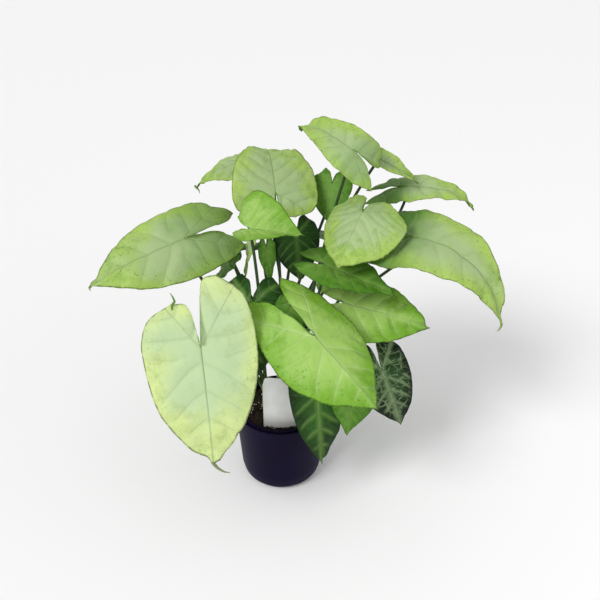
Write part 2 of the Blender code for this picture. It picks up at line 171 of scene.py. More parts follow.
class Paint:
    # one material's node tree and the few nodes that the finishes share
    def __init__(self, name, roughness, **fixed):
        self.material = bpy.data.materials.new(name)
        self.material.use_nodes = True
        self.tree = self.material.node_tree
        self.shader = self.tree.nodes["Principled BSDF"]
        self.shader.inputs["Roughness"].default_value = roughness
        for key, value in fixed.items():
            self.shader.inputs[key.replace("_", " ")].default_value = value

    def place(self):
        return Wire(self.tree, self.tree.nodes.new("ShaderNodeTexCoord").outputs["Object"])

    def attribute(self, name, output="Fac"):
        node = self.tree.nodes.new("ShaderNodeAttribute")
        node.attribute_name = name
        return Wire(self.tree, node.outputs[output])

    def split(self, vector):
        node = self.tree.nodes.new("ShaderNodeSeparateXYZ")
        feed(self.tree, node.inputs[0], vector)
        return [Wire(self.tree, output) for output in node.outputs]

    def join(self, x, y, z):
        node = self.tree.nodes.new("ShaderNodeCombineXYZ")
        for socket, value in zip(node.inputs, (x, y, z)):
            feed(self.tree, socket, value)
        return Wire(self.tree, node.outputs[0])

    def noise(self, where, scale, detail=3.0, rough=0.55):
        node = self.tree.nodes.new("ShaderNodeTexNoise")
        feed(self.tree, node.inputs["Vector"], where)
        node.inputs["Scale"].default_value = scale
        node.inputs["Detail"].default_value = detail
        node.inputs["Roughness"].default_value = rough
        return Wire(self.tree, node.outputs[0])

    def cells(self, where, scale, feature="DISTANCE_TO_EDGE"):
        node = self.tree.nodes.new("ShaderNodeTexVoronoi")
        node.feature = feature
        feed(self.tree, node.inputs["Vector"], where)
        node.inputs["Scale"].default_value = scale
        return Wire(self.tree, node.outputs["Distance"])

    def mix(self, amount, first, second):
        node = self.tree.nodes.new("ShaderNodeMix")
        node.data_type = "RGBA"
        node.clamp_factor = True
        feed(self.tree, node.inputs["Factor"], amount)
        feed(self.tree, node.inputs[6], first)
        feed(self.tree, node.inputs[7], second)
        return Wire(self.tree, node.outputs[2])

    def bump(self, height, strength, distance):
        node = self.tree.nodes.new("ShaderNodeBump")
        node.inputs["Strength"].default_value = strength
        node.inputs["Distance"].default_value = distance
        feed(self.tree, node.inputs["Height"], height)
        feed(self.tree, self.shader.inputs["Normal"], Wire(self.tree, node.outputs[0]))

    def finish(self, colour, roughness=None):
        feed(self.tree, self.shader.inputs["Base Color"], colour)
        if roughness is not None:
            feed(self.tree, self.shader.inputs["Roughness"], roughness)
        return self.material


# leaf finishes: colours on the screen, and how strongly each part of the pattern shows; the lobe
# green is painted shade on the lobes, and the under green of the paler looks is painted shade on
# their undersides
leafLooks = {
    "palest": dict(centre=(214, 240, 186), margin=(234, 254, 168), patch=(186, 206, 120),
                   speck=(120, 160, 60), vein=(190, 214, 160), edge=(96, 112, 66),
                   lobeShade=(150, 190, 96), under=(150, 185, 100), specks=0.5, veins=0.5,
                   patches=0.45, net=0.04, netScale=22.0, netWidth=0.1, band=0.0, slit=0.7),
    "pale": dict(centre=(184, 210, 148), margin=(184, 218, 104), patch=(142, 186, 74),
                 speck=(78, 122, 36), vein=(162, 192, 124), edge=(74, 92, 36),
                 lobeShade=(84, 136, 44), under=(104, 142, 58), specks=0.85, veins=0.5,
                 patches=0.6, net=0.05, netScale=22.0, netWidth=0.1, band=0.0, slit=0.35),
    "lime": dict(centre=(174, 218, 106), margin=(134, 190, 52), patch=(116, 176, 38),
                 speck=(58, 112, 18), vein=(208, 236, 158), edge=(56, 88, 24),
                 lobeShade=(96, 160, 40), under=(104, 150, 50), specks=0.9, veins=0.4,
                 patches=0.6, net=0.05, netScale=22.0, netWidth=0.1, band=0.3, slit=0.8),
    "green": dict(centre=(112, 164, 56), margin=(88, 146, 30), patch=(66, 118, 20),
                  speck=(46, 90, 16), vein=(160, 200, 104), edge=(40, 68, 18),
                  lobeShade=(66, 116, 30), under=(88, 124, 56), specks=0.3, veins=0.4,
                  patches=0.6, net=0.05, netScale=22.0, netWidth=0.1, band=0.3, slit=0.3),
    "dark": dict(centre=(44, 96, 20), margin=(22, 64, 8), patch=(14, 48, 6),
                 speck=(12, 36, 6), vein=(146, 190, 92), edge=(14, 32, 8),
                 lobeShade=(24, 56, 14), under=(70, 100, 50), specks=0.2, veins=0.32,
                 patches=0.6, net=0.06, netScale=22.0, netWidth=0.1, band=0.6, slit=0.0),
    "silver": dict(centre=(46, 90, 36), margin=(16, 40, 10), patch=(12, 32, 8),
                   speck=(10, 26, 8), vein=(186, 214, 160), edge=(10, 20, 8),
                   lobeShade=(24, 48, 18), under=(90, 116, 74), specks=0.2, veins=0.8,
                   patches=0.6, net=0.8, netScale=12.0, netWidth=0.13, band=0.9, slit=0.0),
}
leafLight = 0.74
veinPlan = dict(lean=0.50, curve=1.5, spacing=0.150, lobeSpacing=0.130, width=0.016,
                midWidth=0.013, wander=0.05)


def veinBand(distance, width):
    # 1 on the vein's line and 0 beyond its width
    return distance.step(0.0, width) * -1.0 + 1.0


def sideVeins(along, across, spacing, width):
    # veins that leave a main rib and arch forward; across is the distance from the rib
    start = along - across * veinPlan["lean"] - across * across * veinPlan["curve"]
    line = (start / spacing).op("FRACT") - 0.5
    return veinBand(line.absolute() * spacing, width)


def leafMaterial(name, look):
    paint = Paint("leaf " + name, 0.45, Specular_IOR_Level=0.24)
    colours = {key: tuple(leafLight * c for c in shade(*value))
               for key, value in look.items() if isinstance(value, tuple)}
    flat = paint.attribute("flat", "Vector")
    u, v, seed = paint.split(flat)
    lobe, width, lobeShading = paint.split(paint.attribute("build", "Vector"))
    rim = paint.attribute("rim")
    under = paint.attribute("under")
    where = paint.join(u, v, seed)
    wander = (paint.noise(where, 5.0, 2.0) - 0.5) * veinPlan["wander"]
    a = v.absolute()
    u1 = u + wander
    thin = (a / width * -0.6 + 1.0) * veinPlan["width"]
    ahead = sideVeins(u1, a, veinPlan["spacing"], thin)
    minor = sideVeins(u1 + veinPlan["spacing"] * 0.5, a, veinPlan["spacing"], thin * 0.6) * 0.3
    reach = (lobe * lobe + width * width * 0.19).op("SQRT")
    cos, sin = lobe / reach, width * 0.44 / reach
    p = a * sin - u1 * cos
    q = a * cos + u1 * sin
    behind = sideVeins(p, q.absolute(), veinPlan["lobeSpacing"], thin)
    front = (u1 - a * veinPlan["lean"]).step(-0.004, 0.004)
    sides = (ahead + minor) * front + behind * (front * -1.0 + 1.0)
    taper = (rim * -0.75 + 1.0) * veinPlan["midWidth"]
    middle = veinBand(a, taper) * u.step(-0.01, 0.0)
    lobeRib = veinBand(q.absolute(), taper) * u.step(0.0, -0.01)
    netPlace = paint.join(u + wander, v + wander, seed)
    net = veinBand(paint.cells(netPlace, look["netScale"]), look["netWidth"])
    fade = rim.step(1.0, 0.8)
    ribs = (middle.op("MAXIMUM", lobeRib)).op("MAXIMUM", sides * fade * 0.6)
    slit = veinBand(a, taper * 0.3) * u.step(0.62, 0.1) * u.step(-0.02, 0.0) * look["slit"]
    broken = paint.noise(where, 13.0, 3.0, 0.6).step(0.34, 0.62)
    veins = ribs.op("MAXIMUM", net * broken * look["net"] * fade)

    nearRib = veinBand(a, width * 0.10).op("MAXIMUM", veinBand(q.absolute(), width * 0.07)
                                           * u.step(0.0, -0.01))
    nearSide = sideVeins(u1, a, veinPlan["spacing"], thin * 3.2) * front * fade * 0.75
    band = nearRib.op("MAXIMUM", nearSide) * look["band"]
    cloud = paint.noise(where, 4.5, 3.0)
    toMargin = (rim + (cloud - 0.5) * 1.3).step(0.40, 1.02)
    base = paint.mix(toMargin, colours["centre"], colours["margin"])
    # painted shade: the lobes are darkened towards the deeper lobe green by each leaf's amount, for
    # lobes turned away from the light
    lobes = (u1 + (cloud - 0.5) * 0.25).step(0.10, -0.10) * lobeShading
    base = paint.mix(lobes, base, colours["lobeShade"])
    patch = paint.noise(where, 11.0, 4.0, 0.65).step(0.52, 0.68) * look["patches"]
    base = paint.mix(patch * (rim * 0.8 + 0.2), base, colours["patch"])
    grain = paint.noise(where, 70.0, 2.0, 0.7)
    crowd = (rim + (paint.noise(where, 7.0, 2.0) - 0.5) * 1.2).step(0.45, 1.05)
    tipShade = u.step(0.18, 0.55) * paint.noise(where, 9.0, 4.0, 0.6).step(0.45, 0.62)
    base = paint.mix(tipShade * look["patches"] * 0.8, base, colours["patch"])
    specks = grain.step(0.60, 0.68) * crowd * look["specks"]
    base = paint.mix(specks, base, colours["speck"])
    base = paint.mix(band * 0.6, base, colours["vein"])
    base = paint.mix(veins * look["veins"], base, colours["vein"])
    base = paint.mix(slit, base, colours["edge"])
    ragged = paint.noise(where, 28.0, 3.0, 0.7).step(0.36, 0.6) * 0.75 + 0.15
    base = paint.mix(rim.step(0.968, 0.996) * ragged, base, colours["edge"])
    back = paint.mix(ribs * 0.5, colours["under"], colours["vein"])
    # the underside takes the under colour: for the paler looks a darker green, painted shade on the
    # undersides; for the dark and silver looks the real paler underside
    colour = paint.mix(under, base, back)
    height = ribs * -0.8 + net * -0.12 + grain * 0.15
    paint.bump(height, 0.6, 0.0009)
    gloss = grain * 0.12 + 0.40 + cloud * 0.08
    return paint.finish(colour, gloss)


leafPaints = {name: leafMaterial(name, look) for name, look in leafLooks.items()}


def stalkMaterial():
    paint = Paint("stalk", 0.42, Specular_IOR_Level=0.35)
    run = paint.attribute("run")
    where = paint.place()
    x, y, z = paint.split(where)
    streak = paint.noise(paint.join(x * 900.0, y * 900.0, z * 40.0), 1.0, 3.0)
    tone = paint.mix(run.step(0.0, 0.9), shade(56, 86, 34), shade(42, 68, 30))
    tone = paint.mix(run.step(0.14, 0.0) * 0.8, tone, shade(142, 150, 92))
    tone = paint.mix(streak.step(0.5, 0.75) * 0.5, tone, shade(92, 122, 62))
    tone = paint.mix(run.step(0.93, 1.0) * 0.5, tone, shade(112, 138, 70))
    paint.bump(streak, 0.25, 0.0004)
    return paint.finish(tone)


def potMaterial():
    paint = Paint("pot plastic", 0.42, Specular_IOR_Level=0.06)
    where = paint.place()
    x, y, z = paint.split(where)
    film = paint.noise(where, 22.0, 4.0)
    fine = paint.noise(where, 900.0, 2.0)
    drawn = paint.noise(paint.join(x * 160.0, y * 160.0, z * 6.0), 1.0, 3.0)
    tone = paint.mix(film.step(0.35, 0.75), shade(13, 6, 34), shade(19, 10, 43))
    low = z.step(0.022, 0.0) * film.step(0.3, 0.7)
    tone = paint.mix(low * 0.3, tone, shade(52, 44, 64))
    paint.bump(fine + drawn * 0.6, 0.12, 0.0003)
    return paint.finish(tone, film * 0.14 + drawn * 0.10 + 0.32)


def soilMaterial():
    paint = Paint("potting soil", 0.93, Specular_IOR_Level=0.25)
    where = paint.place()
    clump = paint.noise(where, 160.0, 6.0, 0.7)
    fibre = paint.noise(where, 700.0, 3.0)
    tone = paint.mix(clump.step(0.35, 0.7), shade(20, 14, 11), shade(58, 42, 30))
    tone = paint.mix(fibre.step(0.62, 0.72) * 0.5, tone, shade(92, 70, 46))
    paint.bump(clump + fibre * 0.4, 0.9, 0.0014)
    return paint.finish(tone)


def perliteMaterial():
    paint = Paint("perlite", 0.8, Specular_IOR_Level=0.3)
    where = paint.place()
    pits = paint.cells(where, 1400.0, "F1")
    tone = paint.mix(pits.step(0.1, 0.6), shade(236, 234, 226), shade(188, 182, 168))
    paint.bump(pits, 0.6, 0.0003)
    return paint.finish(tone)


def tagMaterial():
    paint = Paint("tag plastic", 0.48, Specular_IOR_Level=0.45)
    where = paint.place()
    cloud = paint.noise(where, 60.0, 3.0)
    scuff = paint.noise(where, 420.0, 4.0, 0.7)
    z = paint.split(where)[2]
    tone = paint.mix(cloud.step(0.3, 0.8), shade(252, 252, 250), shade(240, 238, 238))
    damp = z.step(0.094, 0.084) * scuff.step(0.3, 0.6)
    tone = paint.mix(damp * 0.7, tone, shade(120, 104, 84))
    paint.bump(scuff, 0.08, 0.0003)
    return paint.finish(tone, scuff * 0.15 + 0.4)


finishes = dict(stalk=stalkMaterial(), pot=potMaterial(), soil=soilMaterial(),
                perlite=perliteMaterial(), tag=tagMaterial())
print("materials")


def addPiece(name, mesh, material, slot, *nodes):
    piece = bpy.data.objects.new(name.replace(" ", "_"), mesh)
    bpy.context.scene.collection.objects.link(piece)
    mesh.materials.clear()
    mesh.materials.append(material)
    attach(piece, "root")
    if nodes:
        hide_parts(*nodes)
    return piece


def setAttribute(mesh, name, values, kind="FLOAT"):
    layer = mesh.attributes.new(name, kind, "POINT")
    layer.data.foreach_set("value" if kind == "FLOAT" else "vector",
                           np.asarray(values, dtype=np.float32).ravel())


# pot: one profile turned round the axis, with drain notches cut from its bottom corner
soilTop = 0.0905
potSizes = dict(height=0.095, topRadius=0.0525, baseRadius=0.0455, corner=0.012, wall=0.0016,
                floor=0.0022, grooveWidth=0.0026, grooveDepth=0.0030, ringWidth=0.0048,
                ringDrop=0.0012, lip=0.0004, drains=6, drainWidth=0.011, drainHeight=0.0030,
                drainDepth=0.014, drainIn=0.003, drainRound=0.0008, drainTurn=0.2, steps=192,
                sharp=40)


def arcPoints(centre, radius, start, end, steps):
    angles = np.radians(np.linspace(start, end, steps + 1))
    return [(centre[0] + radius * math.cos(a), centre[1] + radius * math.sin(a)) for a in angles]


def wallRadius(z):
    return (potSizes["baseRadius"]
            + (potSizes["topRadius"] - potSizes["baseRadius"]) * z / potSizes["height"])


def roundedLip(outer, inner, top):
    # the softened top edge of a thin wall, from its outer to its inner side
    lip = potSizes["lip"]
    return (arcPoints((outer - lip, top - lip), lip, 0, 90, 4)
            + arcPoints((inner + lip, top - lip), lip, 90, 180, 4))


def potProfile():
    p = potSizes
    inner = p["topRadius"] - p["wall"] - p["grooveWidth"] - p["ringWidth"]
    corner = p["baseRadius"] - p["corner"]
    shelf = p["height"] - p["grooveDepth"] - p["wall"]
    groove = p["height"] - p["grooveDepth"]
    wall = arcPoints((corner, p["corner"]), p["corner"], -90, 0, 16)
    wall += [(wallRadius(z), z) for z in np.linspace(p["corner"] + 0.004, p["height"] - 0.002, 20)]
    top = roundedLip(p["topRadius"], p["topRadius"] - p["wall"], p["height"])
    ring = roundedLip(inner + p["ringWidth"], inner, p["height"] - p["ringDrop"])
    inside = [(inner, shelf), (wallRadius(shelf) - p["wall"] - p["grooveWidth"], shelf - 0.003)]
    inside += arcPoints((corner, p["corner"]), p["corner"] - p["floor"], 0, -60, 6)
    return ([(0.0, 0.0)] + wall + top
            + [(p["topRadius"] - p["wall"], groove), (inner + p["ringWidth"], groove)]
            + ring + inside + [(corner, p["floor"]), (0.0, p["floor"])])


# blades: the same outlines and leaves as the frame's, on a finer grid
outlines = {
    "broad": (
        ((1.00, 0.00), (0.93, 0.10), (0.80, 0.36), (0.55, 0.75), (0.22, 0.98),
         (-0.20, 0.99), (-0.65, 0.80), (-1.00, 0.44)),
        ((-1.00, 0.44), (-0.80, 0.20), (-0.40, 0.08), (-0.06, 0.025)),
    ),
    "arrow": (
        ((1.00, 0.00), (0.92, 0.08), (0.78, 0.27), (0.50, 0.62), (0.20, 0.86),
         (-0.15, 0.92), (-0.60, 0.86), (-1.00, 0.62)),
        ((-1.00, 0.62), (-0.76, 0.34), (-0.36, 0.12), (-0.06, 0.03)),
    ),
    "heart": (
        ((1.00, 0.00), (0.93, 0.10), (0.80, 0.38), (0.55, 0.77), (0.22, 0.98),
         (-0.25, 1.00), (-0.72, 0.84), (-1.00, 0.42)),
        ((-1.00, 0.42), (-0.94, 0.16), (-0.50, 0.06), (-0.06, 0.02)),
    ),
    "spear": (
        ((1.00, 0.00), (0.88, 0.12), (0.70, 0.40), (0.45, 0.78), (0.15, 1.00),
         (-0.25, 0.92), (-0.70, 0.62), (-1.00, 0.30)),
        ((-1.00, 0.30), (-0.75, 0.16), (-0.36, 0.08), (-0.06, 0.025)),
    ),
}
# shoots: foot of the stem on the soil, then the stem's height
shoots = {
    "left": ((-0.017, 0.002), 0.024), "front": ((0.006, -0.014), 0.020),
    "right": ((0.022, 0.006), 0.028), "back": ((-0.001, 0.022), 0.034),
}
# leaves, in millimetres and degrees: at is where the stalk meets the blade, aim the blade's
# heading, rise and roll, size its tip, full width and lobes, bend the rise and roll of its
# halves and its droop, lobes their droop, turn its sweep and twist, bow the stalk's bulge
leafColumns = ("shape", "shoot", "at", "aim", "size", "bend", "lobes", "turn", "bow", "wave",
               "look")
leafRows = {
    "far_left": ("broad", "left", (-95, 0, 310), (209, -9, -28), (106, 84, 70), (10, 35, 12, 20),
                 (55, 40), (0, 0), (0, -10, 0), 4.0, "pale"),
    "back_left": ("arrow", "back", (-40, 118, 344), (186, -14, -14), (66, 52, 26), (-8, 20, 15, 35),
                  (20, 20), (0, 0), (0, 0, 0), 2.0, "pale"),
    "upper_middle": ("heart", "back", (-3, 45, 340), (97, 34, 6), (92, 90, 27), (6, 20, 20, 75),
                     (20, 10), (0, 0), (6, 8, 0), 3.0, "pale"),
    "small_bright": ("spear", "left", (-28, -8, 326), (-14, 2, 25), (56, 74, 12), (42, 15, 5, 0),
                     (10, 10), (0, 0), (0, 0, 0), 1.0, "lime"),
    "top": ("arrow", "right", (73, 20, 397), (148, 25, -25), (78, 56, 42), (5, 25, 15, 75),
            (25, 80), (0, 0), (0, 16, 0), 3.0, "pale"),
    "upper_right": ("arrow", "right", (135, 62, 339), (-8, 5, 12), (84, 48, 50), (5, 30, 30, 40),
                    (30, 20), (0, 0), (0, 0, 0), 2.5, "pale"),
    "far_right": ("arrow", "right", (140, -4, 314), (-26, 5, 12), (134, 96, 80), (10, 30, 80, 5),
                  (5, 5), (-30, 0), (0, 36, 0), 2.5, "pale"),
    "middle_right": ("heart", "right", (83, 0, 340), (-124, -38, 0), (62, 96, 24), (-12, 25, 10, 0),
                     (30, 30), (0, 0), (-10, 20, 0), 1.2, "pale"),
    "below_middle": ("spear", "right", (48, -14, 288), (-18, -12, 10), (80, 58, 34), (10, 20, 10, 0),
                     (20, 20), (0, 0), (0, 0, 0), 1.0, "green"),
    "right_bright": ("broad", "right", (68, -15, 243), (-14, -6, 26), (92, 82, 36), (6, 20, 15, 0),
                     (20, 20), (0, 0), (0, 0, 0), 2.0, "lime"),
    "front_bright": ("broad", "front", (38, -90, 252), (-44, -24, 14), (88, 100, 78),
                     (-10, 20, 15, 0), (10, 15), (0, 0), (10, 10, 0), 2.5, "lime"),
    "front_left": ("heart", "left", (-70, -108, 254), (-76, -66, 0), (126, 108, 66), (6, 20, 10, 20),
                   (20, 20), (0, 0), (-14, 0, 0), 3.0, "palest"),
    "dark_left": ("broad", "left", (-27, -32, 252), (-100, -60, 0), (90, 70, 36), (5, 25, 15, 0),
                  (60, 60), (0, 0), (0, 0, 0), 1.5, "dark"),
    "over_rim": ("broad", "front", (39, -59, 166), (-74, -72, 5), (90, 58, 34), (6, 20, 5, 0),
                 (24, 28), (0, 0), (0, 0, 0), 1.8, "dark"),
    "over_rim_small": ("spear", "right", (76, -68, 168), (-105, -60, 0), (46, 50, 20), (6, 20, 5, 0),
                       (24, 28), (0, 0), (0, 0, 0), 1.6, "green"),
    "silver_veined": ("heart", "right", (112, -14, 154), (-60, -48, 20), (64, 62, 34),
                      (5, 25, 10, 0), (20, 20), (0, 0), (0, 0, 0), 1.0, "silver"),
    "inner_left": ("spear", "left", (-52, 12, 276), (200, -48, 8), (32, 30, 14), (6, 20, 5, 0),
                   (30, 30), (0, 0), (-8, -8, 0), 1.0, "green"),
    "pale_strip": ("arrow", "back", (-26, 36, 306), (-118, -62, 45), (62, 34, 14), (10, 20, 5, 0),
                   (30, 30), (0, 0), (0, 0, 0), 1.0, "pale"),
    "old_hanging": ("spear", "back", (-13, 27, 286), (-70, -75, 0), (42, 20, 12), (15, 20, 5, 0),
                    (30, 30), (0, 0), (0, 0, 0), 1.0, "green"),
    "behind_middle": ("broad", "back", (56, 76, 336), (-103, -44, 4), (42, 44, 18), (5, 20, 15, 0),
                      (30, 30), (0, 0), (-6, 0, 0), 1.0, "green"),
    "inside_right": ("broad", "back", (18, 42, 292), (-80, -58, 0), (50, 50, 22), (5, 20, 15, 0),
                     (30, 30), (0, 0), (0, 0, 0), 1.0, "dark"),
    "behind_front": ("spear", "front", (12, -42, 256), (-95, -60, 0), (46, 32, 16), (5, 20, 15, 0),
                     (30, 30), (0, 0), (0, 0, 0), 1.0, "green"),
    "olive_low": ("spear", "left", (-40, -40, 164), (-85, -74, 0), (54, 32, 16), (5, 20, 5, 0),
                  (30, 30), (0, 0), (0, 0, 0), 1.0, "green"),
    "rolled_back": ("spear", "right", (102, 52, 374), (-12, -22, 40), (52, 22, 12),
                    (35, 20, 25, 10), (10, 10), (0, 0), (-16, 0, 0), 1.0, "pale"),
    "rear_left": ("broad", "back", (-58, 78, 252), (135, -30, 0), (82, 72, 40), (6, 25, 20, 10),
                  (25, 25), (0, 0), (0, 0, 0), 1.5, "dark"),
    "rear_right": ("broad", "back", (62, 98, 262), (55, -35, 0), (84, 76, 40), (6, 25, 20, 10),
                   (25, 25), (0, 0), (0, 0, 0), 1.5, "green"),
    "rear_low": ("broad", "back", (8, 92, 186), (92, -45, 0), (70, 60, 30), (6, 25, 10, 10),
                 (25, 25), (0, 0), (0, 0, 0), 1.5, "dark"),
}
leaves = {name: dict(zip(leafColumns, row), name=name) for name, row in leafRows.items()}
# length of the right lobe as a share of the left one, then how much painted shade darkens the lobes
# to a deeper green
rightLobes = {"front_left": 0.66}
shadedLobes = {"far_right": 0.95, "upper_right": 0.85, "far_left": 0.45, "top": 0.35,
              "middle_right": 0.25, "rolled_back": 0.6, "back_left": 0.3}
bladeSizes = dict(side=66, notch=16, rings=28, fineFrom=150, fullRelief=220, thick=0.0007,
                  rimThick=0.00034, waveTurns=5, pucker=0.0017, margin=0.0011,
                  marginWaves=23, uneven=0.016, edgeTurns=26.0, bays=0.022, bayTurns=11.0,
                  crumple=0.0021, crumpleScale=130.0)


def smoothLine(points, samples):
    # a Catmull-Rom curve through flat points
    known = np.array(points, float)
    known = np.vstack((2 * known[0] - known[1], known, 2 * known[-1] - known[-2]))
    spans = len(points) - 1
    s = np.linspace(0, spans, samples + 1)
    i = np.minimum(s.astype(int), spans - 1)
    f = (s - i)[:, None]
    p0, p1, p2, p3 = (known[i + k] for k in range(4))
    return 0.5 * (2 * p1 + (p2 - p0) * f + (2 * p0 - 5 * p1 + 4 * p2 - p3) * f ** 2
                  + (3 * p1 - p0 - 3 * p2 + p3) * f ** 3)


def flatEdge(leaf):
    # from the right notch round the tip to the left notch
    length, width, lobe = (0.001 * n for n in leaf["size"])
    sidePoints, notchPoints = outlines[leaf["shape"]]
    half = np.vstack((smoothLine(sidePoints, bladeSizes["side"]),
                      smoothLine(notchPoints, bladeSizes["notch"])[1:]))
    half[:, 0] *= np.where(half[:, 0] > 0, length, lobe)
    half[:, 1] = np.maximum(half[:, 1], 0.0) * width / 2
    right = half[::-1] * (1, -1)
    right[:, 0] *= np.where(right[:, 0] < 0, rightLobes.get(leaf["name"], 1.0), 1.0)
    return np.vstack((right[:-1], half))


def bladeAxes(leaf):
    heading, rise, roll = np.radians(leaf["aim"])
    ahead = np.array((math.cos(heading) * math.cos(rise),
                      math.sin(heading) * math.cos(rise), math.sin(rise)))
    level = np.array((-math.sin(heading), math.cos(heading), 0.0))
    left = level * math.cos(roll) + np.cross(ahead, level) * math.sin(roll)
    return ahead, left, np.cross(ahead, left)


def runningSums(angles, step):
    c, s = np.cos(angles), np.sin(angles)
    return (np.concatenate(([0], np.cumsum((c[1:] + c[:-1]) / 2))) * step,
            np.concatenate(([0], np.cumsum((s[1:] + s[:-1]) / 2))) * step)


def bentPlaces(leaf, u, v, lift):
    # flat places on the blade to places in the world
    length, width, lobe = (0.001 * n for n in leaf["size"])
    rise, rollDown, droop, tip = np.radians(leaf["bend"])
    half = width / 2
    angle = rise - rollDown * np.abs(v) / half
    y = half * (math.sin(rise) - np.sin(angle)) / rollDown
    z = half * (np.cos(angle) - math.cos(rise)) / rollDown + lift
    steps = np.linspace(0, 1, 65)
    s = np.clip(u / length, 0, 1)
    runs, falls = runningSums(droop * steps + tip * steps ** 3, length / 64)
    x, down, slope = np.interp(s, steps, runs), np.interp(s, steps, falls), droop * s + tip * s ** 3
    for sign, degrees in ((1, leaf["lobes"][0]), (-1, leaf["lobes"][1])):
        fold = math.radians(degrees)
        runs, falls = runningSums(fold * steps, lobe / 64)
        here = (u < 0) & (v * sign > 0)
        back = np.clip(-u / lobe, 0, 1)
        x = np.where(here, -np.interp(back, steps, runs), x)
        down = np.where(here, np.interp(back, steps, falls), down)
        slope = np.where(here, -fold * back, slope)
    sweep, twist = (math.radians(a) * s for a in leaf["turn"])
    yt = np.sign(v) * y * np.cos(twist) - z * np.sin(twist)
    zt = np.sign(v) * y * np.sin(twist) + z * np.cos(twist)
    bow = x * np.sin(sweep / 2)
    x = x * np.cos(sweep / 2) - yt * np.sin(sweep) + zt * np.sin(slope) * np.cos(sweep)
    across = bow + yt * np.cos(sweep) + zt * np.sin(slope) * np.sin(sweep)
    up = -down + zt * np.cos(slope)
    ahead, left, above = bladeAxes(leaf)
    return (0.001 * np.array(leaf["at"]) + np.outer(x, ahead) + np.outer(across, left)
            + np.outer(up, above))


def ribDistance(leaf, u, v):
    # 0 on a side vein and 1 halfway between two, by the same plan as the leaf materials
    unit = 0.001 * (leaf["size"][0] + leaf["size"][2])
    a, u = np.abs(v) / unit, u / unit
    lobe, width = 0.001 * leaf["size"][2] / unit, 0.001 * leaf["size"][1] / unit
    ahead = (u - a * veinPlan["lean"] - a * a * veinPlan["curve"]) / veinPlan["spacing"]
    reach = math.hypot(lobe, width * 0.44)
    cos, sin = lobe / reach, width * 0.44 / reach
    p, q = a * sin - u * cos, np.abs(a * cos + u * sin)
    behind = (p - q * veinPlan["lean"] - q * q * veinPlan["curve"]) / veinPlan["lobeSpacing"]
    front = np.clip((u - a * veinPlan["lean"]) / 0.03 + 0.5, 0, 1)
    fromRib = [2 * np.abs(f - np.floor(f) - 0.5) for f in (ahead, behind)]
    return fromRib[0] * front + fromRib[1] * (1 - front)


def noiseAt(x, y, scale, seed):
    # sums of a few fixed waves, enough to roughen a surface
    total = np.zeros_like(x)
    for k in range(5):
        a = seed * 1.7 + k * 2.4
        f = scale * 1.6 ** k
        total += np.sin(f * (x * math.cos(a) + y * math.sin(a)) + a * 3) / 1.35 ** k
    return total / 3


